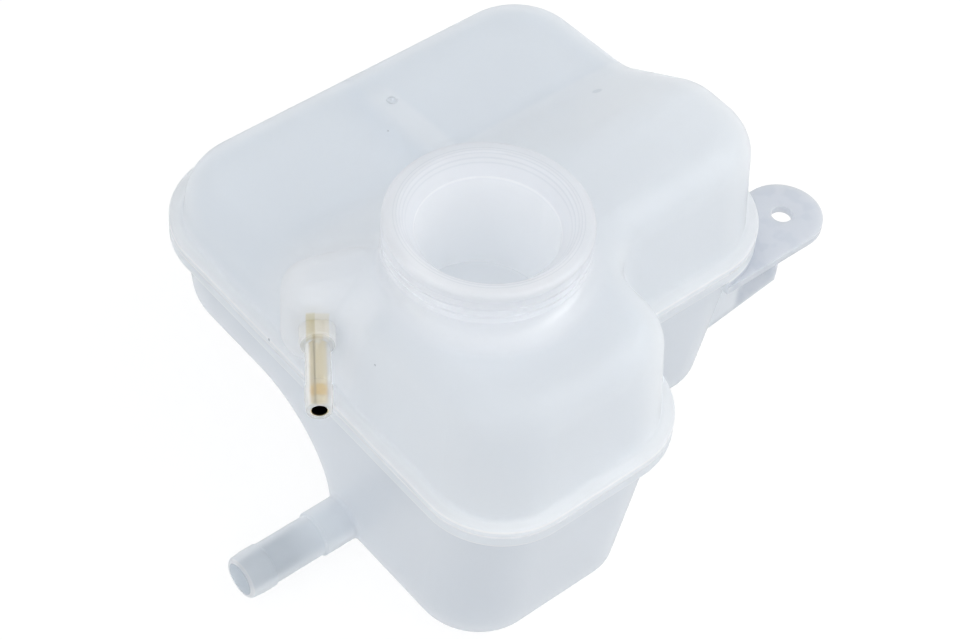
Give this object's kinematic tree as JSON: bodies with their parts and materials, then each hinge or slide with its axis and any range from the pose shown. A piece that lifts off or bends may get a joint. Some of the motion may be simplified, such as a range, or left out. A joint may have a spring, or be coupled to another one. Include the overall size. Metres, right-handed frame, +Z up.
{
  "type": "coolant expansion tank",
  "caption": "Translucent plastic coolant expansion tank of welded halves, with a threaded filler neck, a brass-lined return nipple, a hose stub and a mounting ear.",
  "frame": {"origin": "on the axis of the filler neck, at the level of the high roof, inside the filler bore", "axes": "+Z up along the filler neck, +X right towards the mounting ear, +Y back towards the shallow pan"},
  "size_m": [0.2151, 0.1752, 0.1345],
  "materials": {
    "natural_polypropylene": "satin, milky and translucent",
    "brass": "drawn, plain"
  },
  "bodies": {
    "root": {"upper_shell": "natural_polypropylene", "lower_shell": "natural_polypropylene", "brass_insert": "brass"}
  },
  "joints": []
}
